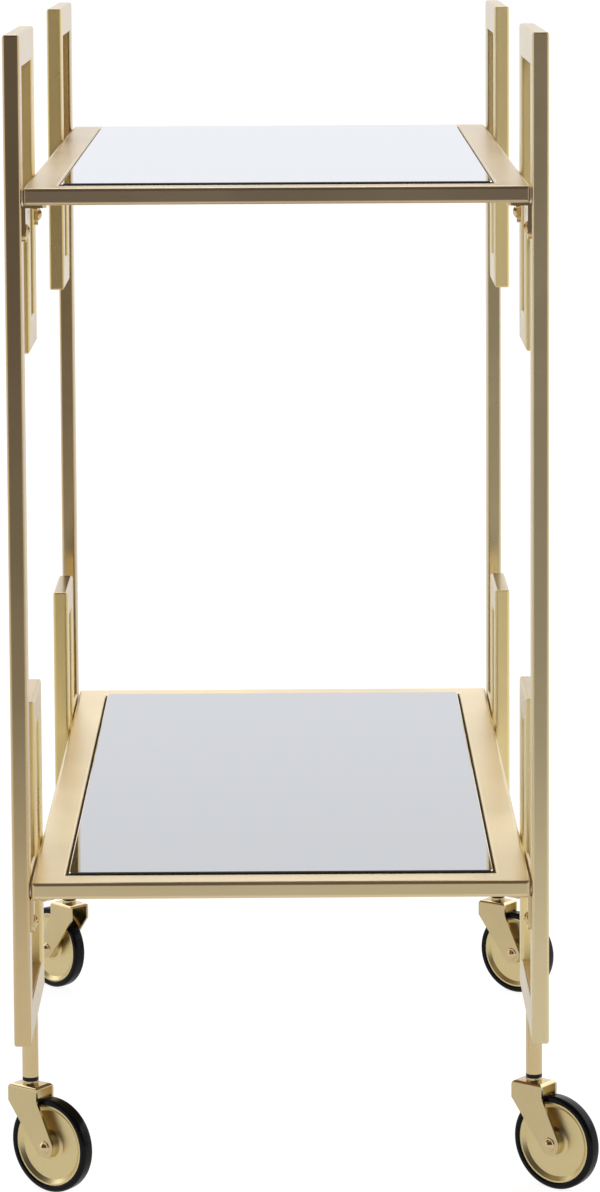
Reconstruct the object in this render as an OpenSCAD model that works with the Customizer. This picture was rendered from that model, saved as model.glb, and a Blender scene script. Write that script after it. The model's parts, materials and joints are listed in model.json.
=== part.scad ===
// Two-tier bar cart on four swivel casters.
// Origin: floor level, midway between the side frames and between the two ends.
// +Z is up, X runs across the cart, Y runs along it. The front end is at -Y.

/* [Overall size] */
// Height of the side frames above the floor
cart_h = 890; // [870:1:930]
// Width over the two side frames
cart_w = 400; // [340:1:480]
// Length over the end posts
cart_l = 740; // [600:1:900]
// Height of the side frames' bottom rails above the floor
base_z = 134; // [128:1:145]

/* [Frame tube] */
// Width of the rectangular tube, seen from the side of the cart
tube_w = 25.4; // [22:0.2:28]
// Thickness of the rectangular tube, across the cart
tube_t = 12.7; // [12.5:0.1:14]
// Outer corner radius of the tube
tube_r = 2.5; // [1.8:0.1:3.5]
// Wall thickness of the tube
tube_wall = 1.2; // [1.1:0.1:1.5]
// Radius at the outside of each mitred corner
mitre_r = 1.4; // [0.8:0.1:2.5]

/* [Greek keys] */
// Reach of each key from the end of the cart
key_reach = 174.4; // [165:0.2:200]
// Distance from the end of the cart to a key's inner upright
key_turn = 84; // [70:1:95]
// Height of an upper key over its rails
upper_key_h = 244.2; // [235:0.1:260]
// Depth of an upper key's middle rail below the top of the frame
upper_mid_drop = 131; // [120:0.5:150]
// Height of a lower key over its rails
lower_key_h = 245.3; // [235:0.1:260]
// Height of a lower key's middle rail, to its top, above the bottom of the frame
lower_mid_rise = 126.4; // [115:0.2:145]

/* [Shelves] */
// Height of the upper shelf's top above the floor
upper_shelf_z = 777.5; // [760:0.5:790]
// Height of the lower shelf's top above the floor
lower_shelf_z = 258.5; // [250:0.5:290]
// Gap between a shelf and each side frame
shelf_gap = 0.9; // [0.6:0.1:1.5]
// Distance from the cart's ends to a shelf's ends
shelf_inset = 1; // [0.5:0.5:3]
// Plan radius at a shelf's corners
shelf_corner_r = 3.2; // [1:0.1:3.2]
// Height of a mirror's face above the shelf's border
mirror_rise = 1.5; // [0.5:0.1:2]
// Thickness of a mirror
mirror_t = 3; // [2:0.5:3.5]
// Gap round a mirror and its backing panel
panel_gap = 1.5; // [0.5:0.1:1.8]
// Thickness of the backing panel under a mirror
backing_t = 6; // [3:0.5:6]

/* [Brackets] */
// Sheet thickness of a shelf bracket
bracket_t = 2.6; // [2:0.1:3]
// Width of a shelf bracket
bracket_w = 11; // [10.5:0.5:14]
// Length of a bracket's leg down the side frame
bracket_drop = 28; // [27:1:36]
// Length of a bracket's leg under the shelf
bracket_reach = 18; // [17:0.5:22]
// Distance from the end of the cart to the outer brackets' centres
outer_bracket_y = 15; // [12:0.5:17]

/* [Casters] */
// Distance from the end of the cart to a caster's swivel axis
leg_inset = 87; // [85:1:110]
// Diameter of a caster leg
leg_d = 12.4; // [12:0.1:12.5]
// Radius of a wheel over its tyre
wheel_r = 36.4; // [34:0.1:36.6]
// Width of a tyre
tyre_w = 11.4; // [11:0.2:14]
// Distance of the axle behind the swivel axis
trail = 21; // [17:0.5:22]
// Height of a fork's top above the floor
fork_z = 81; // [79:0.5:82]
// Width over a fork's side plates
fork_w = 20.8; // [20.2:0.2:24]
// Swivel angle of the front left caster
front_left_turn = -36.5; // [-180:0.5:180]
// Swivel angle of the front right caster
front_right_turn = -37.8; // [-180:0.2:180]
// Swivel angle of the rear left caster
rear_left_turn = 134; // [-180:0.5:180]
// Swivel angle of the rear right caster
rear_right_turn = -36; // [-180:0.5:180]

/* [Hidden] */
$fn = 64;
gold = [0.71, 0.60, 0.37];
gold_dark = [0.60, 0.49, 0.30];
glass = [0.88, 0.90, 0.93];
hardboard = [0.45, 0.33, 0.22];
clear_rubber = [0.85, 0.85, 0.82];
black = [0.10, 0.10, 0.10];
zinc = [0.70, 0.70, 0.70];
nylon = [0.90, 0.88, 0.82];
over = 1;              // overrun of a cutting or trimming shape past each face
fit = 0.05;            // clearance of a screw, pin or pressed piece in its hole
stretch = 0.1;         // how far the tyre is stretched over the rim

// Side frames
rail_y = cart_l / 2;
side_x = cart_w / 2 - tube_t / 2;
face_x = cart_w / 2 - tube_t;
upper_key_z = cart_h - upper_key_h;
upper_mid_z = cart_h - upper_mid_drop;
lower_key_top = base_z + lower_key_h;
lower_mid_z = base_z + lower_mid_rise;

// Shelves: the border is the same tube, laid flat
shelf_x = face_x - shelf_gap;
shelf_y = rail_y - shelf_inset;
open_x = shelf_x - tube_w;
open_y = shelf_y - tube_w;
backing_z = mirror_rise - mirror_t - backing_t;  // its underside over the shelf's top
ledge_w = 12;
ledge_t = 1.5;
ledge_gap = 1;         // between neighbouring ledges at each corner
bumper_d = 9;
bumper_t = 1;
bumper_pitch = 170;

// Brackets and screws
bend_r = 3;
side_screw_d = 5;
side_head_d = 10.4;
side_head_h = 3;
side_screw_len = 9;
side_screw_drop = 19.5;
shelf_screw_d = 3.5;
shelf_head_d = 7;
shelf_head_h = 2.2;
shelf_screw_len = 8;
shelf_screw_x = 9.8;   // from the side frame's inner face
inner_bracket_y = key_reach - tube_w / 2;
bracket_rows = [outer_bracket_y, inner_bracket_y];
drive_w = 1.1;         // blade width of a cross recess
drive_depth = 1.2;
head_trim = 0.6;       // taken off a dome's sharp rim, on the diameter

// Casters
leg_x = side_x;
leg_y = rail_y - leg_inset;
leg_wall = 1.2;
collar_d = 12.4;
collar_h = 2.8;
race_d = 12.4;
race_h = 2.8;
race_neck_d = 11;
race_neck_h = 0.7;
race_chamfer = 0.3;
swivel_gap = 0.1;
collar_z = fork_z + race_h + swivel_gap;
leg_z = collar_z + collar_h;
stem_d = 8;
stem_len = 40;
stem_head_d = 13;
stem_head_h = 1.8;
running = 0.075;       // radial clearance of the stem in the fork
sleeve_len = 42;
sheet_t = 2;
fork_bend_r = 2.8;
fork_back = -14;
fork_front = 14;
fork_corner_r = 3.2;
fork_back_h = 13.2;
fork_front_h = 10.6;
ear_r = 8.5;
axle_d = 6;
flange_d = 10.6;
flange_h = 0.9;
dome_d = 8;
dome_h = 3.4;
tyre_h = 4.2;
rim_r = wheel_r - tyre_h;
rim_half = 4.5;
rim_t = 2.4;
rim_chamfer = 0.6;
web_half = 2;
web_step = 1;
rim_slope = 3;
hub_r = 8;
hub_chamfer = 1;
hub_fillet = 1.5;
hub_foot = 4;
hub_half = fork_w / 2 - sheet_t - 0.5;
bush_r = 4.9;
shoulder_r = 3;
crown_r = 40;

// ---------- shared shapes ----------

module both_ends() {
    children();
    mirror([0, 1, 0]) children();
}

module both_sides() {
    children();
    mirror([1, 0, 0]) children();
}

// Pieces are drawn for the right side frame; the left one is its mirror image.
module side_frame(side) {
    if (side == "left") mirror([1, 0, 0]) children();
    else children();
}

module rounded_rect(w, h, r) {
    square([w - 2 * r, h], center = true);
    square([w, h - 2 * r], center = true);
    for (sx = [-1, 1])
        for (sy = [-1, 1])
            translate([sx * (w / 2 - r), sy * (h / 2 - r)]) circle(r = r);
}

// Section of the rectangular tube, w by t over its flats
module tube_section(w, t) {
    difference() {
        rounded_rect(w, t, tube_r);
        rounded_rect(w - 2 * tube_wall, t - 2 * tube_wall, tube_r - tube_wall);
    }
}

// Square corner minus a round one: cuts a radius on the corner at the origin,
// whose material lies towards +sx, +sy.
module corner_cut(r, sx, sy) {
    difference() {
        translate([sx > 0 ? -over : -r, sy > 0 ? -over : -r]) square(r + over);
        translate([sx * r, sy * r]) circle(r = r);
    }
}

// ---------- side frames ----------
// In a side frame, d is the distance from the end of the cart and z the height.

// Stands a (d, z) outline up as a slab as thick as the frame
module side_slab() {
    translate([side_x, -rail_y, 0])
        rotate([90, 0, 90])
            linear_extrude(height = tube_t + 2 * over, center = true) children();
}

// An upright tube at distance d, trimmed to the (d, z) outline given as a child
module upright(d) {
    intersection() {
        translate([side_x, -rail_y + d + tube_w / 2, 0])
            linear_extrude(height = cart_h + over) tube_section(tube_t, tube_w);
        side_slab() children();
    }
}

// A level tube whose top is at height z, trimmed to the (d, z) outline
module level(z) {
    intersection() {
        translate([side_x, -rail_y - over, z - tube_w / 2])
            rotate([-90, 0, 0])
                linear_extrude(height = key_reach + 2 * over) tube_section(tube_t, tube_w);
        side_slab() children();
    }
}

// Outline of an upright from z0 to z1; b and t give the way each mitre slopes:
// 1 where the meeting rail runs towards the middle of the cart, -1 the other way.
module upright_outline(d, z0, z1, b, t) {
    difference() {
        polygon([
            [d, b > 0 ? z0 : z0 + tube_w],
            [d + tube_w, b > 0 ? z0 + tube_w : z0],
            [d + tube_w, t > 0 ? z1 - tube_w : z1],
            [d, t > 0 ? z1 : z1 - tube_w]
        ]);
        translate([b > 0 ? d : d + tube_w, z0]) corner_cut(mitre_r, b, 1);
        translate([t > 0 ? d : d + tube_w, z1]) corner_cut(mitre_r, t, -1);
    }
}

// Outline of a level tube with its top at z, mitred at both ends to uprights
// that run downwards (v = -1) or upwards (v = 1)
module level_outline(d0, d1, z, v) {
    outer = v < 0 ? z : z - tube_w;
    inner = v < 0 ? z - tube_w : z;
    difference() {
        polygon([[d0, outer], [d1, outer], [d1 - tube_w, inner], [d0 + tube_w, inner]]);
        translate([d0, outer]) corner_cut(mitre_r, 1, v);
        translate([d1, outer]) corner_cut(mitre_r, -1, v);
    }
}

// Outline of a middle rail: butted on the post, mitred at its inner end
module middle_outline(z, v) {
    outer = v < 0 ? z : z - tube_w;
    inner = v < 0 ? z - tube_w : z;
    end = key_turn + tube_w;
    difference() {
        polygon([[tube_w, outer], [end, outer], [key_turn, inner], [tube_w, inner]]);
        translate([end, outer]) corner_cut(mitre_r, -1, v);
    }
}

// Holes for the bracket screws in the inner wall of the post or inner upright
module side_screw_holes(d, shelf_z) {
    translate([face_x - over, -rail_y + d, shelf_z - tube_t - side_screw_drop])
        rotate([0, 90, 0])
            cylinder(h = tube_wall + 2 * over, d = side_screw_d + 2 * fit);
}

module posts(side) {
    side_frame(side)
        both_ends()
            difference() {
                upright(0) upright_outline(0, base_z, cart_h, 1, 1);
                side_screw_holes(outer_bracket_y, upper_shelf_z);
                side_screw_holes(outer_bracket_y, lower_shelf_z);
            }
}

module upper_key_rails(side) {
    side_frame(side)
        both_ends() {
            level(cart_h) level_outline(0, key_reach, cart_h, -1);
            level(upper_mid_z) middle_outline(upper_mid_z, -1);
            level(upper_key_z + tube_w)
                level_outline(key_turn, key_reach, upper_key_z + tube_w, 1);
        }
}

module upper_key_uprights(side) {
    side_frame(side)
        both_ends() {
            difference() {
                upright(key_reach - tube_w)
                    upright_outline(key_reach - tube_w, upper_key_z, cart_h, -1, -1);
                side_screw_holes(inner_bracket_y, upper_shelf_z);
            }
            upright(key_turn) upright_outline(key_turn, upper_key_z, upper_mid_z, 1, -1);
        }
}

module lower_key_rails(side) {
    side_frame(side)
        both_ends() {
            difference() {
                level(base_z + tube_w) level_outline(0, key_reach, base_z + tube_w, 1);
                translate([leg_x, -leg_y, base_z - over])
                    cylinder(h = tube_wall + 2 * over, d = leg_d - 2 * leg_wall);
            }
            level(lower_mid_z) middle_outline(lower_mid_z, 1);
            level(lower_key_top) level_outline(key_turn, key_reach, lower_key_top, -1);
        }
}

module lower_key_uprights(side) {
    side_frame(side)
        both_ends() {
            difference() {
                upright(key_reach - tube_w)
                    upright_outline(key_reach - tube_w, base_z, lower_key_top, -1, -1);
                side_screw_holes(inner_bracket_y, lower_shelf_z);
            }
            upright(key_turn)
                upright_outline(key_turn, lower_mid_z - tube_w, lower_key_top, -1, 1);
        }
}

// ---------- shelves ----------

// Plan of a long border rail, mitred at both ends
module long_outline() {
    difference() {
        polygon([
            [shelf_x, -shelf_y], [shelf_x, shelf_y],
            [open_x, open_y], [open_x, -open_y]
        ]);
        translate([shelf_x, -shelf_y]) corner_cut(shelf_corner_r, -1, 1);
        translate([shelf_x, shelf_y]) corner_cut(shelf_corner_r, -1, -1);
    }
}

module cross_outline() {
    difference() {
        polygon([
            [-shelf_x, -shelf_y], [shelf_x, -shelf_y],
            [open_x, -open_y], [-open_x, -open_y]
        ]);
        translate([-shelf_x, -shelf_y]) corner_cut(shelf_corner_r, 1, 1);
        translate([shelf_x, -shelf_y]) corner_cut(shelf_corner_r, -1, 1);
    }
}

module shelf_slab(z) {
    translate([0, 0, z - tube_t - over])
        linear_extrude(height = tube_t + 2 * over) children();
}

module shelf_long_rails(z) {
    both_sides()
        difference() {
            intersection() {
                translate([shelf_x - tube_w / 2, shelf_y + over, z - tube_t / 2])
                    rotate([90, 0, 0])
                        linear_extrude(height = 2 * (shelf_y + over))
                            tube_section(tube_w, tube_t);
                shelf_slab(z) long_outline();
            }
            both_ends()
                for (d = bracket_rows)
                    translate([face_x - shelf_screw_x, -rail_y + d, z - tube_t - over])
                        cylinder(h = tube_wall + 2 * over, d = shelf_screw_d + 2 * fit);
        }
}

module shelf_cross_rails(z) {
    both_ends()
        intersection() {
            translate([-shelf_x - over, -shelf_y + tube_w / 2, z - tube_t / 2])
                rotate([90, 0, 90])
                    linear_extrude(height = 2 * (shelf_x + over))
                        tube_section(tube_w, tube_t);
            shelf_slab(z) cross_outline();
        }
}

module shelf_panel(z, t) {
    translate([0, 0, z + t / 2])
        cube([2 * (open_x - panel_gap), 2 * (open_y - panel_gap), t], center = true);
}

module shelf_mirror(z) {
    shelf_panel(z + mirror_rise - mirror_t, mirror_t);
}

module shelf_backing(z) {
    shelf_panel(z + backing_z, backing_t);
}

// Flat strips welded inside the border, which carry the backing panel
module shelf_ledges(z) {
    bottom = z + backing_z - bumper_t - ledge_t;
    cross_x = open_x - ledge_w - ledge_gap;
    both_sides()
        translate([open_x - ledge_w, -open_y, bottom])
            cube([ledge_w, 2 * open_y, ledge_t]);
    both_ends()
        translate([-cross_x, -open_y, bottom])
            cube([2 * cross_x, ledge_w, ledge_t]);
}

// Clear rubber dots between the ledges and the backing panel
module shelf_bumpers(z) {
    bottom = z + backing_z - bumper_t;
    both_sides() {
        for (y = [-3 / 2, -1 / 2, 1 / 2, 3 / 2])
            translate([open_x - ledge_w / 2, y * bumper_pitch, bottom])
                cylinder(h = bumper_t, d = bumper_d);
        both_ends()
            translate([open_x / 2, -open_y + ledge_w / 2, bottom])
                cylinder(h = bumper_t, d = bumper_d);
    }
}

// ---------- brackets and screws ----------
// A bracket's own origin is the corner between the side frame's inner face and
// the shelf's underside.

module bracket_place(z) {
    both_sides()
        both_ends()
            for (d = bracket_rows)
                translate([face_x, -rail_y + d, z - tube_t]) children();
}

// Flat strip with a round end, lying along +x from the origin
module bracket_strip(length) {
    translate([0, -bracket_w / 2]) square([length - bracket_w / 2, bracket_w]);
    translate([length - bracket_w / 2, 0]) circle(d = bracket_w);
}

module bracket() {
    difference() {
        union() {
            rotate([0, 180, 0])
                linear_extrude(height = bracket_t) bracket_strip(bracket_reach);
            rotate([0, 90, 0])
                translate([0, 0, -bracket_t])
                    linear_extrude(height = bracket_t) bracket_strip(bracket_drop);
        }
        rotate([90, 0, 0])
            linear_extrude(height = bracket_w + 2 * over, center = true)
                corner_cut(bend_r, -1, -1);
        translate([-bracket_t - over, 0, -side_screw_drop])
            rotate([0, 90, 0])
                cylinder(h = bracket_t + 2 * over, d = side_screw_d + 2 * fit);
        translate([-shelf_screw_x, 0, -bracket_t - over])
            cylinder(h = bracket_t + 2 * over, d = shelf_screw_d + 2 * fit);
    }
}

// Pan-head screw pointing along +z, with the underside of its head at z = 0
module pan_screw(shank_d, shank_len, head_d, head_h) {
    dome_r = (head_d * head_d / 4 + head_h * head_h) / (2 * head_h);
    point = shank_d / 2;
    difference() {
        union() {
            cylinder(h = shank_len - point, d = shank_d);
            translate([0, 0, shank_len - point])
                cylinder(h = point, d1 = shank_d, d2 = point / 2);
            intersection() {
                translate([0, 0, -head_h]) cylinder(h = head_h, d = head_d - head_trim);
                translate([0, 0, dome_r - head_h]) sphere(r = dome_r);
            }
        }
        for (a = [0, 90])
            rotate([0, 0, a])
                translate([-head_d / 4, -drive_w / 2, -head_h - over])
                    cube([head_d / 2, drive_w, drive_depth + over]);
    }
}

module bracket_side_screws(z) {
    bracket_place(z)
        translate([-bracket_t, 0, -side_screw_drop])
            rotate([0, 90, 0])
                pan_screw(side_screw_d, side_screw_len, side_head_d, side_head_h);
}

module bracket_shelf_screws(z) {
    bracket_place(z)
        translate([-shelf_screw_x, 0, -bracket_t])
            pan_screw(shelf_screw_d, shelf_screw_len, shelf_head_d, shelf_head_h);
}

// ---------- casters ----------
// A caster's own origin is on the floor below its swivel axis, and its axle lies
// at x = trail.

module each_leg() {
    both_sides()
        both_ends()
            translate([leg_x, -leg_y, 0]) children();
}

module caster(sx, sy, turn) {
    translate([sx * leg_x, sy * leg_y, 0])
        rotate([0, 0, turn]) children();
}

module on_axle() {
    translate([trail, 0, wheel_r])
        rotate([90, 0, 0]) children();
}

// Section of the folded sheet, seen along the caster
module fork_fold(w, top, r) {
    translate([-w / 2, 0]) square([w, top - r]);
    translate([-w / 2 + r, 0]) square([w - 2 * r, top]);
    for (s = [-1, 1])
        translate([s * (w / 2 - r), top - r]) circle(r = r);
}

// Point where a line from p touches the ear's circle; s picks the side
function touch(p, s) =
    let (c = [trail, wheel_r], v = p - c, a = atan2(v[1], v[0]) + s * acos(ear_r / norm(v)))
    [c[0] + ear_r * cos(a), c[1] + ear_r * sin(a)];

// Side view of the fork: a plate that tapers down to round ears at the axle
module fork_profile() {
    back = [fork_back, fork_z - fork_back_h];
    front = [fork_front, fork_z - fork_front_h];
    difference() {
        polygon([
            [fork_back, fork_z], back, touch(back, 1),
            [trail, wheel_r], touch(front, -1), front, [fork_front, fork_z]
        ]);
        translate([fork_back, fork_z]) corner_cut(fork_corner_r, 1, -1);
        translate([fork_front, fork_z]) corner_cut(fork_corner_r, -1, -1);
    }
    translate([trail, wheel_r]) circle(r = ear_r);
}

module fork() {
    difference() {
        intersection() {
            translate([fork_back - over, 0, 0])
                rotate([90, 0, 90])
                    linear_extrude(height = trail + ear_r - fork_back + 2 * over)
                        difference() {
                            fork_fold(fork_w, fork_z, fork_bend_r);
                            translate([0, -over])
                                fork_fold(
                                    fork_w - 2 * sheet_t,
                                    fork_z - sheet_t + over,
                                    fork_bend_r - sheet_t
                                );
                        }
            rotate([90, 0, 0])
                linear_extrude(height = fork_w + 2 * over, center = true) fork_profile();
        }
        translate([0, 0, fork_z - sheet_t - over])
            cylinder(h = sheet_t + 2 * over, d = stem_d + 2 * running);
        on_axle() cylinder(h = fork_w + 2 * over, d = axle_d + 2 * fit, center = true);
    }
}

// Turned ring on top of the fork, in which the swivel turns
module swivel_race() {
    bore_r = stem_d / 2 + running;
    out_r = race_d / 2;
    translate([0, 0, fork_z])
        rotate_extrude()
            polygon([
                [bore_r, 0], [race_neck_d / 2, 0],
                [race_neck_d / 2, race_neck_h], [out_r - race_chamfer, race_neck_h],
                [out_r, race_neck_h + race_chamfer], [out_r, race_h - race_chamfer],
                [out_r - race_chamfer, race_h], [bore_r, race_h]
            ]);
}

// Riveted axle with a flanged dome outside each ear
module axle() {
    dome_r = (dome_d * dome_d / 4 + dome_h * dome_h) / (2 * dome_h);
    on_axle() {
        cylinder(h = fork_w + 2 * flange_h, d = axle_d, center = true);
        for (s = [0, 1])
            mirror([0, 0, s])
                translate([0, 0, fork_w / 2]) {
                    cylinder(h = flange_h, d1 = flange_d, d2 = flange_d - flange_h);
                    intersection() {
                        cylinder(h = dome_h, d = dome_d);
                        translate([0, 0, dome_h - dome_r]) sphere(r = dome_r);
                    }
                }
    }
}

// Outline through the points given and the same points mirrored below the axis
function both_halves(points) =
    concat(points, [for (i = [len(points) - 1 : -1 : 0]) [points[i][0], -points[i][1]]]);

// Section of the disc: a hub, a dished web and a rim that carries the tyre
module wheel_disc() {
    web_r = rim_r - rim_t;
    on_axle()
        rotate_extrude()
            polygon(both_halves([
                [bush_r + fit, hub_half],
                [hub_r - hub_chamfer, hub_half], [hub_r, hub_half - hub_chamfer],
                [hub_r + hub_fillet, web_half + web_step], [hub_r + hub_foot, web_half],
                [web_r - rim_slope, web_half], [web_r, rim_half],
                [rim_r - rim_chamfer, rim_half], [rim_r, rim_half - rim_chamfer]
            ]));
}

// Half section of the tyre: flat sides, round shoulders and a slightly crowned tread
module tyre() {
    half = tyre_w / 2;
    inner_r = rim_r - stretch;
    on_axle()
        rotate_extrude()
            intersection() {
                translate([wheel_r - crown_r, 0]) circle(r = crown_r, $fn = 128);
                union() {
                    translate([inner_r, -half])
                        square([wheel_r - shoulder_r - inner_r, tyre_w]);
                    translate([inner_r, -half + shoulder_r])
                        square([wheel_r - inner_r, tyre_w - 2 * shoulder_r]);
                    for (s = [-1, 1])
                        translate([wheel_r - shoulder_r, s * (half - shoulder_r)])
                            circle(r = shoulder_r);
                }
            }
}

module hub_bush() {
    on_axle()
        difference() {
            cylinder(h = 2 * hub_half, r = bush_r, center = true);
            cylinder(h = 2 * (hub_half + over), d = axle_d + 2 * fit, center = true);
        }
}

// ---------- nodes ----------

module left_posts() { color(gold) posts("left"); }
module right_posts() { color(gold) posts("right"); }
module left_upper_key_rails() { color(gold) upper_key_rails("left"); }
module right_upper_key_rails() { color(gold) upper_key_rails("right"); }
module left_upper_key_uprights() { color(gold) upper_key_uprights("left"); }
module right_upper_key_uprights() { color(gold) upper_key_uprights("right"); }
module left_lower_key_rails() { color(gold) lower_key_rails("left"); }
module right_lower_key_rails() { color(gold) lower_key_rails("right"); }
module left_lower_key_uprights() { color(gold) lower_key_uprights("left"); }
module right_lower_key_uprights() { color(gold) lower_key_uprights("right"); }

module caster_leg_tubes() {
    color(gold)
        each_leg()
            translate([0, 0, leg_z])
                difference() {
                    cylinder(h = base_z - leg_z, d = leg_d);
                    translate([0, 0, -over])
                        cylinder(h = base_z - leg_z + 2 * over, d = leg_d - 2 * leg_wall);
                }
}

// Plastic sleeve in each leg, which grips the caster's stem
module leg_sleeves() {
    color(black)
        each_leg()
            translate([0, 0, leg_z])
                difference() {
                    cylinder(h = sleeve_len, d = leg_d - 2 * leg_wall - 2 * fit);
                    translate([0, 0, -over])
                        cylinder(h = sleeve_len + 2 * over, d = stem_d + 2 * fit);
                }
}

// Flange of the sleeve that caps the leg's open end
module leg_collars() {
    color(black)
        each_leg()
            translate([0, 0, collar_z])
                difference() {
                    cylinder(h = collar_h, d = collar_d);
                    translate([0, 0, -over])
                        cylinder(h = collar_h + 2 * over, d = stem_d + 2 * fit);
                }
}

// Stem held in the leg, with a riveted head under the fork
module caster_stems() {
    head_top = fork_z - sheet_t - swivel_gap;
    color(zinc)
        each_leg() {
            translate([0, 0, head_top])
                cylinder(h = collar_z + stem_len - head_top, d = stem_d);
            translate([0, 0, head_top - stem_head_h])
                cylinder(h = stem_head_h, d1 = stem_head_d - 2, d2 = stem_head_d);
        }
}

module upper_shelf_long_rails() { color(gold) shelf_long_rails(upper_shelf_z); }
module upper_shelf_cross_rails() { color(gold) shelf_cross_rails(upper_shelf_z); }
module upper_mirror() { color(glass) shelf_mirror(upper_shelf_z); }
module upper_backing_panel() { color(hardboard) shelf_backing(upper_shelf_z); }
module upper_ledges() { color(gold_dark) shelf_ledges(upper_shelf_z); }
module upper_bumpers() { color(clear_rubber) shelf_bumpers(upper_shelf_z); }
module lower_shelf_long_rails() { color(gold) shelf_long_rails(lower_shelf_z); }
module lower_shelf_cross_rails() { color(gold) shelf_cross_rails(lower_shelf_z); }
module lower_mirror() { color(glass) shelf_mirror(lower_shelf_z); }
module lower_backing_panel() { color(hardboard) shelf_backing(lower_shelf_z); }
module lower_ledges() { color(gold_dark) shelf_ledges(lower_shelf_z); }
module lower_bumpers() { color(clear_rubber) shelf_bumpers(lower_shelf_z); }

module upper_brackets() { color(gold_dark) bracket_place(upper_shelf_z) bracket(); }
module lower_brackets() { color(gold_dark) bracket_place(lower_shelf_z) bracket(); }
module upper_bracket_side_screws() { color(gold) bracket_side_screws(upper_shelf_z); }
module lower_bracket_side_screws() { color(gold) bracket_side_screws(lower_shelf_z); }
module upper_bracket_shelf_screws() { color(gold) bracket_shelf_screws(upper_shelf_z); }
module lower_bracket_shelf_screws() { color(gold) bracket_shelf_screws(lower_shelf_z); }

module front_left() { caster(-1, -1, front_left_turn) children(); }
module front_right() { caster(1, -1, front_right_turn) children(); }
module rear_left() { caster(-1, 1, rear_left_turn) children(); }
module rear_right() { caster(1, 1, rear_right_turn) children(); }

module fork_node() { color(gold) fork(); }
module race_node() { color(gold) swivel_race(); }
module axle_node() { color(gold) axle(); }
module disc_node() { color(gold) wheel_disc(); }
module tyre_node() { color(black) tyre(); }
module bush_node() { color(nylon) hub_bush(); }

left_posts();
right_posts();
left_upper_key_rails();
right_upper_key_rails();
left_upper_key_uprights();
right_upper_key_uprights();
left_lower_key_rails();
right_lower_key_rails();
left_lower_key_uprights();
right_lower_key_uprights();
caster_leg_tubes();
leg_sleeves();
leg_collars();
caster_stems();
upper_shelf_long_rails();
upper_shelf_cross_rails();
upper_mirror();
upper_backing_panel();
upper_ledges();
upper_bumpers();
lower_shelf_long_rails();
lower_shelf_cross_rails();
lower_mirror();
lower_backing_panel();
lower_ledges();
lower_bumpers();
upper_brackets();
lower_brackets();
upper_bracket_side_screws();
lower_bracket_side_screws();
upper_bracket_shelf_screws();
lower_bracket_shelf_screws();
front_left() fork_node();  // front_left_fork
front_left() race_node();  // front_left_swivel_race
front_left() axle_node();  // front_left_axle
front_left() disc_node();  // front_left_wheel_disc
front_left() tyre_node();  // front_left_tyre
front_left() bush_node();  // front_left_hub_bush
front_right() fork_node();  // front_right_fork
front_right() race_node();  // front_right_swivel_race
front_right() axle_node();  // front_right_axle
front_right() disc_node();  // front_right_wheel_disc
front_right() tyre_node();  // front_right_tyre
front_right() bush_node();  // front_right_hub_bush
rear_left() fork_node();  // rear_left_fork
rear_left() race_node();  // rear_left_swivel_race
rear_left() axle_node();  // rear_left_axle
rear_left() disc_node();  // rear_left_wheel_disc
rear_left() tyre_node();  // rear_left_tyre
rear_left() bush_node();  // rear_left_hub_bush
rear_right() fork_node();  // rear_right_fork
rear_right() race_node();  // rear_right_swivel_race
rear_right() axle_node();  // rear_right_axle
rear_right() disc_node();  // rear_right_wheel_disc
rear_right() tyre_node();  // rear_right_tyre
rear_right() bush_node();  // rear_right_hub_bush
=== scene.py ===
import json
import math

import bmesh
import bpy
from mathutils import Euler, Matrix, Vector


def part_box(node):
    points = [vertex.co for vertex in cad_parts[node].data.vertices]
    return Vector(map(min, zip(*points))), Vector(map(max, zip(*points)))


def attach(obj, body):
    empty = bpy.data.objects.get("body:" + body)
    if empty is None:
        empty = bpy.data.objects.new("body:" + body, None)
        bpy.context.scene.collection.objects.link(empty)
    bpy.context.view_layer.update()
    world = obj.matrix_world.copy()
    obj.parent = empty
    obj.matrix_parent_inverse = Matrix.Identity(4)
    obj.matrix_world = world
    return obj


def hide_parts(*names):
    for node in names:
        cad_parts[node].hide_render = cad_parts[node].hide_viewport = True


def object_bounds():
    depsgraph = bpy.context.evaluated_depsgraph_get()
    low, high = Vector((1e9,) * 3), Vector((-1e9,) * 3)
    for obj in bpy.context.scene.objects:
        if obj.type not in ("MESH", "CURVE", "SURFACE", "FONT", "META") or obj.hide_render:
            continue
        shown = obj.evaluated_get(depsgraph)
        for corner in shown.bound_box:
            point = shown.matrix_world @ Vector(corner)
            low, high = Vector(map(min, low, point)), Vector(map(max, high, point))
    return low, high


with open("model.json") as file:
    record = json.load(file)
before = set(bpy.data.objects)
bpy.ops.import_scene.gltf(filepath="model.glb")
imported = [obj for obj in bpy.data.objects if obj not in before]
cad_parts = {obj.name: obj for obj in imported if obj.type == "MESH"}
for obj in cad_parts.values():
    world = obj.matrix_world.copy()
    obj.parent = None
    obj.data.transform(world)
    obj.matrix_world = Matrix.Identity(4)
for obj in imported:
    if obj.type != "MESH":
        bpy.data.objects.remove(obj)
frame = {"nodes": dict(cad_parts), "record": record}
CAD_BOX = [list(c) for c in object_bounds()]
NODES = frame["nodes"]
scene = bpy.context.scene


# ---------- node helpers ----------

def rgb(r, g, b):
    return (r, g, b, 1.0)


WHITE = rgb(1, 1, 1)


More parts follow.
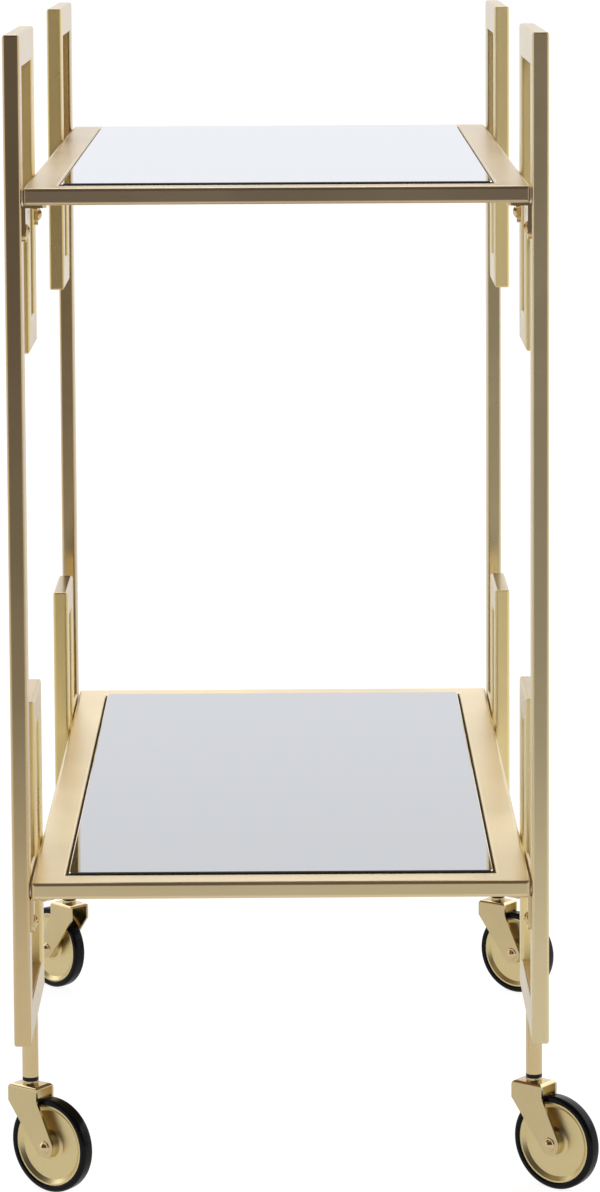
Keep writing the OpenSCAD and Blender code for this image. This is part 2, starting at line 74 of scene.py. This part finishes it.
class Graph:
    """Short calls for building the node tree of a material or of the world"""

    def __init__(self, tree):
        self.tree = tree
        self.tree.nodes.clear()

    def add(self, kind, **settings):
        node = self.tree.nodes.new(kind)
        for key, value in settings.items():
            setattr(node, key, value)
        return node

    def link(self, a, b):
        self.tree.links.new(a, b)

    def put(self, socket, value):
        """Link another node's output to the socket, or set the socket's own value"""
        if isinstance(value, bpy.types.NodeSocket):
            self.link(value, socket)
        else:
            socket.default_value = value

    def math(self, op, a, b=0.0):
        n = self.add("ShaderNodeMath", operation=op)
        self.put(n.inputs[0], a)
        self.put(n.inputs[1], b)
        return n.outputs[0]

    def mix(self, fac, a, b, kind="RGBA"):
        """a where fac is 0, b where it is 1"""
        n = self.add("ShaderNodeMix", data_type=kind)
        self.put(n.inputs["Factor"], fac)
        self.put(n.inputs["A"], a)
        self.put(n.inputs["B"], b)
        return n.outputs["Result"]

    def blend(self, fac, a, b):
        """mix for plain numbers"""
        return self.mix(fac, a, b, "FLOAT")

    def noise(self, coords, scale, detail=2.0, rough=0.5):
        n = self.add("ShaderNodeTexNoise")
        self.link(coords, n.inputs["Vector"])
        n.inputs["Scale"].default_value = scale
        n.inputs["Detail"].default_value = detail
        n.inputs["Roughness"].default_value = rough
        return n.outputs["Fac"]

    def spread(self, value, low, high, start=0.3, end=0.7):
        """Smooth step from low, where value is start, to high, where it is end"""
        n = self.add("ShaderNodeMapRange", interpolation_type="SMOOTHSTEP")
        self.put(n.inputs["Value"], value)
        n.inputs["From Min"].default_value = start
        n.inputs["From Max"].default_value = end
        n.inputs["To Min"].default_value = low
        n.inputs["To Max"].default_value = high
        return n.outputs["Result"]

    def place(self, scale=(1, 1, 1)):
        """Object coordinates in metres, stretched by scale"""
        tex = self.add("ShaderNodeTexCoord")
        mapping = self.add("ShaderNodeMapping")
        mapping.inputs["Scale"].default_value = scale
        self.link(tex.outputs["Object"], mapping.inputs["Vector"])
        return mapping.outputs["Vector"]

    def bump(self, height, strength, distance):
        n = self.add("ShaderNodeBump")
        n.inputs["Strength"].default_value = strength
        n.inputs["Distance"].default_value = distance
        self.link(height, n.inputs["Height"])
        return n.outputs["Normal"]

    def xyz(self, vector):
        n = self.add("ShaderNodeSeparateXYZ")
        self.link(vector, n.inputs[0])
        return n.outputs

    def seen(self):
        """1 where the camera sees the surface itself, 0 in reflections and as light"""
        return self.add("ShaderNodeLightPath").outputs["Is Camera Ray"]


def material(name):
    m = bpy.data.materials.new(name)
    m.use_nodes = True
    g = Graph(m.node_tree)
    out = g.add("ShaderNodeOutputMaterial")
    shader = g.add("ShaderNodeBsdfPrincipled")
    g.link(shader.outputs[0], out.inputs["Surface"])
    return m, g, shader.inputs


# ---------- gold and zinc ----------

BRUSHED = 0.025  # stretch of the brush marks along a tube
ALL_WAYS = (1, 1, 1)
ALONG_X, ALONG_Y, ALONG_Z = (BRUSHED, 1, 1), (1, BRUSHED, 1), (1, 1, BRUSHED)

GOLD = (0.76, 0.593, 0.33)
PALE = 1.025               # the plating's lighter tone, times its tint
DEEP = (0.97, 0.96, 0.94)  # its deeper tone, times its tint


def satin_metal(name, base, deep, rough, brush=ALL_WAYS, metallic=1.0):
    """Satin plated metal: cloudy tone and gloss, faint brush lines under the plating"""
    m, g, s = material(name)
    at = g.place()
    cloud = g.noise(at, 9.0, detail=3.0)
    haze = g.noise(at, 45.0, detail=1.0)
    lines = g.noise(g.place(brush), 240.0, detail=1.0)
    tone = g.spread(g.blend(0.2, cloud, haze), 0.0, 1.0, start=0.32, end=0.68)
    gloss = g.spread(cloud, rough - 0.025, rough + 0.03, start=0.25, end=0.75)
    g.put(s["Base Color"], g.mix(tone, deep, base))
    g.put(s["Metallic"], metallic)
    g.put(s["Roughness"], gloss)
    g.put(s["Normal"], g.bump(lines, strength=0.012, distance=0.00008))
    return m


def gold(name, rough, brush=ALL_WAYS, tint=GOLD, metallic=1.0):
    base = rgb(*(c * PALE for c in tint))
    deep = rgb(*(c * d for c, d in zip(tint, DEEP)))
    return satin_metal(name, base, deep, rough, brush, metallic)


# Painted light: the upper and lower shelf rails are one gold, painted as a darker shaded
# copy for the upper shelf and a lighter lit copy for the lower shelf
SHADED_UPPER = dict(rough=0.30, tint=(0.70, 0.555, 0.345), metallic=0.94)
LIT_LOWER = dict(rough=0.30, tint=(0.84, 0.68, 0.40), metallic=0.94)

# Painted light: the posts are one gold painted as lit and shaded copies, darker on the
# left posts, lighter and less metallic on the right posts so the front fill lamp brightens
# them
left_post = gold("shaded_left_post_gold", 0.22, ALONG_Z, (0.72, 0.555, 0.305))
right_post = gold("lit_right_post_gold", 0.26, ALONG_Z, (0.81, 0.68, 0.41), 0.84)
leg_gold = gold("leg_gold", 0.22, ALONG_Z)
rail_gold = gold("key_rail_gold", 0.22, ALONG_Y)
# Painted light: the key uprights are the same gold painted as lit copies, with a lighter
# tint and less metal so the front fill lamp brightens them; the right ones are painted
# lighter than the left
left_key = gold("lit_left_key_gold", 0.28, ALONG_Z, (0.89, 0.70, 0.315), 0.73)
right_key = gold("lit_right_key_gold", 0.30, ALONG_Z, (0.93, 0.77, 0.385), 0.50)
upper_long = gold("upper_long_rail_gold", brush=ALONG_Y, **SHADED_UPPER)
upper_cross = gold("upper_cross_rail_gold", brush=ALONG_X, **SHADED_UPPER)
lower_long = gold("lower_long_rail_gold", brush=ALONG_Y, **LIT_LOWER)
lower_cross = gold("lower_cross_rail_gold", brush=ALONG_X, **LIT_LOWER)
ledge_gold = gold("ledge_gold", 0.30)
hardware_gold = gold("hardware_gold", 0.20)
caster_gold = gold("caster_gold", 0.24, tint=(0.68, 0.548, 0.305))
wheel_gold = gold("wheel_gold", 0.34, tint=(0.78, 0.645, 0.34))
dome_gold = gold("dome_gold", 0.10)
zinc = satin_metal("zinc_plate", rgb(0.66, 0.66, 0.68), rgb(0.58, 0.58, 0.60), 0.28)


# ---------- rubber, plastic, board and glass ----------

def rubber(name, base, lift, rough, specular=0.5):
    """Moulded rubber or plastic with a fine grain; lift is its dusty tone"""
    m, g, s = material(name)
    at = g.place()
    dust = g.noise(at, 55.0, detail=5.0, rough=0.6)
    grain = g.noise(at, 1500.0)
    dusty = g.spread(dust, 0.0, 1.0, start=0.45, end=0.8)
    g.put(s["Base Color"], g.mix(dusty, rgb(*base), rgb(*lift)))
    g.put(s["Roughness"], g.spread(dust, rough - 0.05, rough + 0.08))
    g.put(s["Specular IOR Level"], specular)
    g.put(s["Normal"], g.bump(grain, strength=0.08, distance=0.0002))
    return m


tyre_rubber = rubber("tyre_rubber", (0.003, 0.003, 0.0035), (0.006,) * 3, 0.20, 0.15)
black_plastic = rubber("black_plastic", (0.005,) * 3, (0.009,) * 3, 0.35, 0.25)
nylon = rubber("nylon_bush", (0.70, 0.67, 0.58), (0.76, 0.73, 0.66), 0.42)
clear_dot = rubber("clear_rubber_dot", (0.72, 0.72, 0.70), (0.80, 0.80, 0.78), 0.25)


def board(name):
    """Pale brown hardboard with pressed fibres"""
    m, g, s = material(name)
    fibre = g.noise(g.place((40, 90, 1)), 14.0, detail=6.0, rough=0.7)
    flake = g.noise(g.place(), 160.0, detail=3.0)
    both = g.blend(0.4, fibre, flake)
    brown, tan = rgb(0.16, 0.095, 0.05), rgb(0.28, 0.18, 0.10)
    g.put(s["Base Color"], g.mix(g.spread(both, 0.0, 1.0), brown, tan))
    g.put(s["Roughness"], g.spread(flake, 0.62, 0.80))
    g.put(s["Normal"], g.bump(both, strength=0.25, distance=0.0004))
    return m


def silvered_glass(name):
    """Mirror with a faint smear on the glass and a slow wave in it"""
    m, g, s = material(name)
    wave = g.noise(g.place(), 3.0, detail=1.0)
    smear = g.noise(g.place((1, 0.35, 1)), 26.0, detail=5.0)
    g.put(s["Base Color"], rgb(0.88, 0.882, 0.875))
    g.put(s["Metallic"], 1.0)
    g.put(s["Roughness"], g.spread(smear, 0.015, 0.045, start=0.45, end=0.75))
    g.put(s["Normal"], g.bump(wave, strength=0.05, distance=0.002))
    return m


def cut_glass(name):
    """Dark ground edge of the glass"""
    m, g, s = material(name)
    scratch = g.noise(g.place((1, 1, 6)), 240.0, detail=3.0)
    black, green = rgb(0.006, 0.009, 0.008), rgb(0.014, 0.020, 0.017)
    g.put(s["Base Color"], g.mix(g.spread(scratch, 0.0, 1.0), black, green))
    g.put(s["Roughness"], g.spread(scratch, 0.14, 0.24))
    return m


hardboard = board("hardboard")
mirror = silvered_glass("mirror_silvered")
glass_edge = cut_glass("glass_edge")

# A piece's finish goes by its node's ending where one fits, and by its slot otherwise
ENDING_LOOK = {
    "left_posts": left_post,
    "right_posts": right_post,
    "leg_tubes": leg_gold,
    "upper_shelf_long_rails": upper_long,
    "upper_shelf_cross_rails": upper_cross,
    "lower_shelf_long_rails": lower_long,
    "lower_shelf_cross_rails": lower_cross,
    "_axle": dome_gold,
}
SLOT_LOOK = {
    "frame_gold": rail_gold,
    "shelf_gold": ledge_gold,
    "gold_hardware": hardware_gold,
    "caster_gold": caster_gold,
    "wheel_gold": wheel_gold,
    "mirror": mirror,
    "backing_board": hardboard,
    "clear_rubber": clear_dot,
    "black_plastic": black_plastic,
    "zinc_steel": zinc,
    "tyre_rubber": tyre_rubber,
    "bush_nylon": nylon,
}


def look(node, slot):
    if node.endswith("_key_uprights"):
        return left_key if node.startswith("left") else right_key
    for ending, finish in ENDING_LOOK.items():
        if node.endswith(ending):
            return finish
    return SLOT_LOOK[slot]


for part in frame["record"]["subparts"]:
    for slot in NODES[part["node"]].material_slots:
        slot.material = look(part["node"], part["material_slot"])


# ---------- mirrors ----------

BEVEL = 0.0008         # width of the polished bevel round a mirror's face
BEVEL_DROP = 0.9       # its fall, as a part of its width
GLASS_CORNER = 0.0024  # dubbed corner of the glass, in plan
CORNER_STEPS = 6
FACE, EDGE = 0, 1      # the panel's material slots


def ring(bm, low, high, inset, z):
    """Loop of vertices round a rectangle with rounded corners"""
    radius = GLASS_CORNER - inset
    verts = []
    for quarter, (sx, sy) in enumerate(((1, 1), (-1, 1), (-1, -1), (1, -1))):
        cx = (high.x if sx > 0 else low.x) - sx * GLASS_CORNER
        cy = (high.y if sy > 0 else low.y) - sy * GLASS_CORNER
        for step in range(CORNER_STEPS + 1):
            a = math.pi / 2 * (quarter + step / CORNER_STEPS)
            at = (cx + radius * math.cos(a), cy + radius * math.sin(a), z)
            verts.append(bm.verts.new(at))
    return verts


def mirror_panel(name, node):
    """Sheet of silvered glass with dubbed corners and a polished bevel"""
    low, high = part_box(node)
    drop = BEVEL * BEVEL_DROP
    bm = bmesh.new()
    levels = (
        (drop, low.z), (0.0, low.z + drop), (0.0, high.z - drop), (BEVEL, high.z)
    )
    rings = [ring(bm, low, high, inset, z) for inset, z in levels]
    for below, above in zip(rings, rings[1:]):
        for i in range(len(below)):
            j = (i + 1) % len(below)
            face = bm.faces.new((below[i], below[j], above[j], above[i]))
            face.material_index = FACE if above is rings[-1] else EDGE
    bm.faces.new(rings[-1]).material_index = FACE
    bm.faces.new(list(reversed(rings[0]))).material_index = EDGE
    bm.normal_update()
    mesh = bpy.data.meshes.new(name)
    mesh.materials.append(mirror)
    mesh.materials.append(glass_edge)
    bm.to_mesh(mesh)
    bm.free()
    obj = bpy.data.objects.new(name, mesh)
    scene.collection.objects.link(obj)
    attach(obj, "frame")
    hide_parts(node)


for shelf in ("upper", "lower"):
    mirror_panel(shelf + "_mirror_glass", shelf + "_mirror")


# ---------- floor ----------

FLOOR_SIDE, FLOOR_FRONT, FLOOR_BACK = 4.0, -3.6, 6.0
DIM_Y, LIT_Y = -2.1, -1.05             # the floor brightens from the first to the second
FLOOR_DIM, FLOOR_LIT = 0.10, 0.64      # its light in reflections at those two
FLOOR_SEEN = 0.90                      # its light to the camera, which is even

mesh = bpy.data.meshes.new("floor")
mesh.from_pydata(
    [(x, y, 0.0) for x, y in (
        (-FLOOR_SIDE, FLOOR_FRONT), (FLOOR_SIDE, FLOOR_FRONT),
        (FLOOR_SIDE, FLOOR_BACK), (-FLOOR_SIDE, FLOOR_BACK))],
    [], [(0, 1, 2, 3)])
floor = bpy.data.objects.new("floor", mesh)
scene.collection.objects.link(floor)

floor_white, g, s = material("floor_white")
seen = g.seen()
# Painted light: to reflections and as light the floor glows, a painted pool of light that
# is dim far in front and bright near the cart; to the camera it glows evenly
near = g.spread(g.xyz(g.place())["Y"], 0.0, 1.0, start=DIM_Y, end=LIT_Y)
g.put(s["Base Color"], g.mix(seen, rgb(0.16, 0.16, 0.16), rgb(0.20, 0.20, 0.20)))
g.put(s["Roughness"], 0.9)
g.put(s["Specular IOR Level"], 0.0)
g.put(s["Emission Color"], WHITE)
g.put(s["Emission Strength"],
      g.blend(seen, g.blend(near, FLOOR_DIM, FLOOR_LIT), FLOOR_SEEN))
mesh.materials.append(floor_white)


# ---------- light ----------

# A large soft lamp at the front right, which fills the satin finish only
FILL_FROM = Vector((0.50, -0.75, 0.43))
lamp = bpy.data.lights.new("front_fill", "SUN")
lamp.energy = 1.7
lamp.angle = 0.7
lamp.color = (1.0, 0.97, 0.92)
fill = bpy.data.objects.new("front_fill", lamp)
scene.collection.objects.link(fill)
fill.rotation_euler = FILL_FROM.to_track_quat("Z", "Y").to_euler()
fill.visible_glossy = False

WALL, WALL_FALL = 0.92, 0.26    # white wall behind the cart, and how much it dims upwards
CEILING = 1.15                  # what the ceiling adds to it, high up
FRONT_LOW, FRONT = 0.38, 0.115  # the room in front, near the floor and ahead
FRONT_UP = 0.62                 # times FRONT above the horizon
BACKDROP = 1.05                 # what the camera sees round the cart
BACK_TINT = rgb(0.965, 0.985, 1.035)
FRONT_TINT = rgb(1.0, 0.90, 0.98)

world = bpy.data.worlds.new("studio")
world.use_nodes = True
scene.world = world
g = Graph(world.node_tree)
out = g.add("ShaderNodeOutputWorld")
back = g.add("ShaderNodeBackground")
g.link(back.outputs[0], out.inputs["Surface"])
dx, dy, dz = g.xyz(g.add("ShaderNodeTexCoord").outputs["Generated"])
side = g.math("ABSOLUTE", dx)
# Height angle over the room's front horizon: 0 ahead, pi / 2 overhead, pi at the back
arc = g.math("ARCTAN2", dz, g.math("MULTIPLY", dy, -1.0))

wall = g.spread(dz, WALL, WALL - WALL_FALL, start=0.05, end=0.30)
lit = g.math("ADD", wall, g.spread(dz, 0.0, CEILING, start=0.25, end=0.40))
dim = g.math("MULTIPLY", g.spread(arc, FRONT_LOW, FRONT, start=-0.26, end=-0.09),
             g.spread(arc, 1.0, FRONT_UP, start=0.05, end=0.35))

# The dark part of the room: ahead and overhead, short of the sides and of the floor
dark = g.spread(arc, 1.0, 0.0, start=1.62, end=1.95)
dark = g.math("MULTIPLY", dark, g.spread(side, 1.0, 0.0, start=0.78, end=0.94))
dark = g.math("MULTIPLY", dark, g.spread(arc, 0.0, 1.0, start=-1.2, end=-0.6))

seen = g.seen()
g.put(back.inputs["Strength"], g.blend(seen, g.blend(dark, lit, dim), BACKDROP))
g.put(back.inputs["Color"], g.mix(seen, g.mix(dark, BACK_TINT, FRONT_TINT), WHITE))

scene.view_settings.view_transform = "Standard"


# ---------- camera ----------

SENSOR, LENS, SHIFT_Y = 36.0, 126.7, -0.2633
DISTANCE = 3.065       # in front of the cart's end
RISE = 0.1207          # over the side frames' tops
STEP_RIGHT = 0.0115    # from the cart's middle
PITCH_DOWN, YAW_RIGHT, ROLL = 5.65, 0.1, -0.32  # in degrees

END_Y = CAD_BOX[0][1]
TOP_Z = CAD_BOX[1][2]
camera = bpy.data.cameras.new("camera")
camera.sensor_width = SENSOR
camera.lens = LENS
camera.shift_y = SHIFT_Y
cam = bpy.data.objects.new("camera", camera)
scene.collection.objects.link(cam)
cam.location = (STEP_RIGHT, END_Y - DISTANCE, TOP_Z + RISE)
aim = Euler((math.radians(90.0 - PITCH_DOWN), 0.0, math.radians(-YAW_RIGHT)))
roll = Matrix.Rotation(math.radians(ROLL), 3, "Z")
cam.rotation_euler = (aim.to_matrix() @ roll).to_euler()
scene.camera = cam
